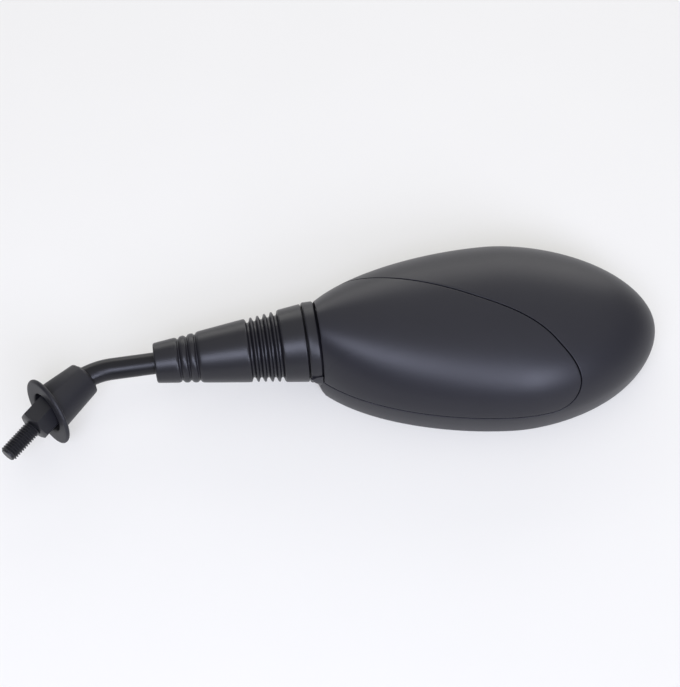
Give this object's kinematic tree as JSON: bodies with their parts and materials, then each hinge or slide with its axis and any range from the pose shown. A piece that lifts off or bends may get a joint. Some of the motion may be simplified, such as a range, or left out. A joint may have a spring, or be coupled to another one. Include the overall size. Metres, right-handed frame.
{
  "type": "motorcycle mirror",
  "caption": "Left-hand motorcycle mirror: egg-shaped head with a leaf-shaped cover panel, ball joint in a ribbed rubber boot, bent stem and a threaded stud with a hexagon.",
  "frame": {"origin": "centre of the stud's seat, the outer face of the hexagon", "axes": "+X from the stem to the head along the neck, +Z out of the head's back, +Y across the head; the mirror's face looks towards -Z and the stud points towards -X -Y"},
  "size_m": [0.3035, 0.0912, 0.0461],
  "materials": {
    "housing_black": "fine grained, satin black",
    "panel_black": "smooth, satin black",
    "collar_black": "smooth, satin black",
    "rubber_black": "matt black rubber",
    "rod_black": "black coated steel",
    "stud_black": "black passivated steel",
    "ball_steel": "ground ball",
    "socket_alloy": "die cast",
    "spring_steel": "drawn spring wire",
    "screw_steel": "zinc plated",
    "carrier_grey": "plain moulded",
    "foam_black": "closed-cell foam",
    "mirror_silver": "silvered glass",
    "cup_white": "acetal"
  },
  "bodies": {
    "base": {"stud_adapter": "stud_black"},
    "stem": {"stem_rod": "rod_black", "lock_nut": "stud_black", "pivot_ball": "ball_steel", "boot": "rubber_black"},
    "cap": {"base_cap": "rubber_black"},
    "collar": {"neck_collar": "collar_black"},
    "head": {"housing": "housing_black", "back_panel": "panel_black", "mirror_glass": "mirror_silver", "foam_pad": "foam_black", "glass_carrier": "carrier_grey", "carrier_screws": "screw_steel", "joint_socket": "socket_alloy", "pressure_cup": "cup_white", "joint_spring": "spring_steel", "spring_plug": "ball_steel", "socket_screws": "screw_steel", "collar_washer": "cup_white", "collar_clip": "spring_steel"}
  },
  "joints": [
    {"name": "stem_swivel", "type": "hinge", "parent": "base", "child": "stem", "pos_m": [0, 0, 0], "axis": [-0.7096, -0.7046, 0], "range_deg": [-90, 90]},
    {"name": "cap_slide", "type": "slide", "parent": "stem", "child": "cap", "axis": [-0.7096, -0.7046, 0], "range_m": [0, 0.01], "deforming": ["base_cap"]},
    {"name": "head_pan", "type": "hinge", "parent": "stem", "child": "collar", "pos_m": [0.10725, 0.02438, 0], "axis": [0, 1, 0], "range_deg": [-12, 12], "deforming": ["boot"]},
    {"name": "head_roll", "type": "hinge", "parent": "collar", "child": "head", "pos_m": [0.10725, 0.02438, 0], "axis": [1, 0, 0], "range_deg": [-20, 20]}
  ]
}
